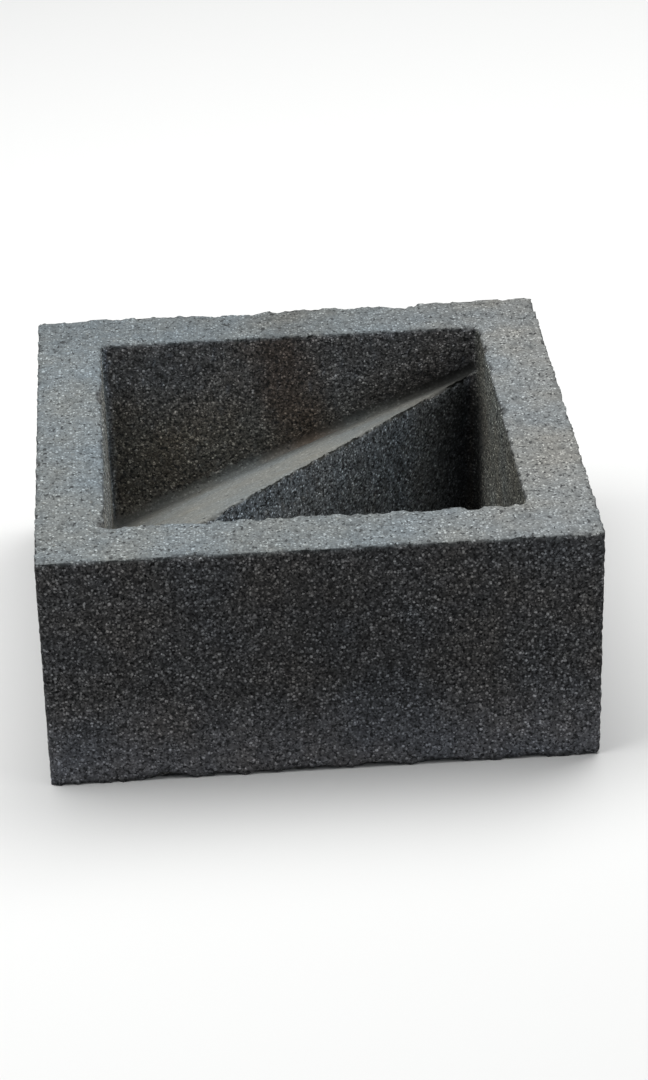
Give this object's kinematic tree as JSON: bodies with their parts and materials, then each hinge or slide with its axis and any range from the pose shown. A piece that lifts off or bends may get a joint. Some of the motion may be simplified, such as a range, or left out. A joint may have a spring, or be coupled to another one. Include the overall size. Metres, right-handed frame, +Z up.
{
  "type": "concrete screen block",
  "caption": "Square precast concrete screen block with a sloped web across half of its opening and a triangular light opening beside it.",
  "frame": {"origin": "centre of the back face, on the level that the block lies on", "axes": "+Z up from the back face to the open face, +X to the right wall, -Y to the front wall; the web is thin at the far left corner and the light opening is near right"},
  "size_m": [0.25, 0.25, 0.115],
  "materials": {
    "concrete": "pressed grey concrete, fine open pores, slightly ragged arrises"
  },
  "bodies": {
    "root": {"screen_block": "concrete"}
  },
  "joints": []
}
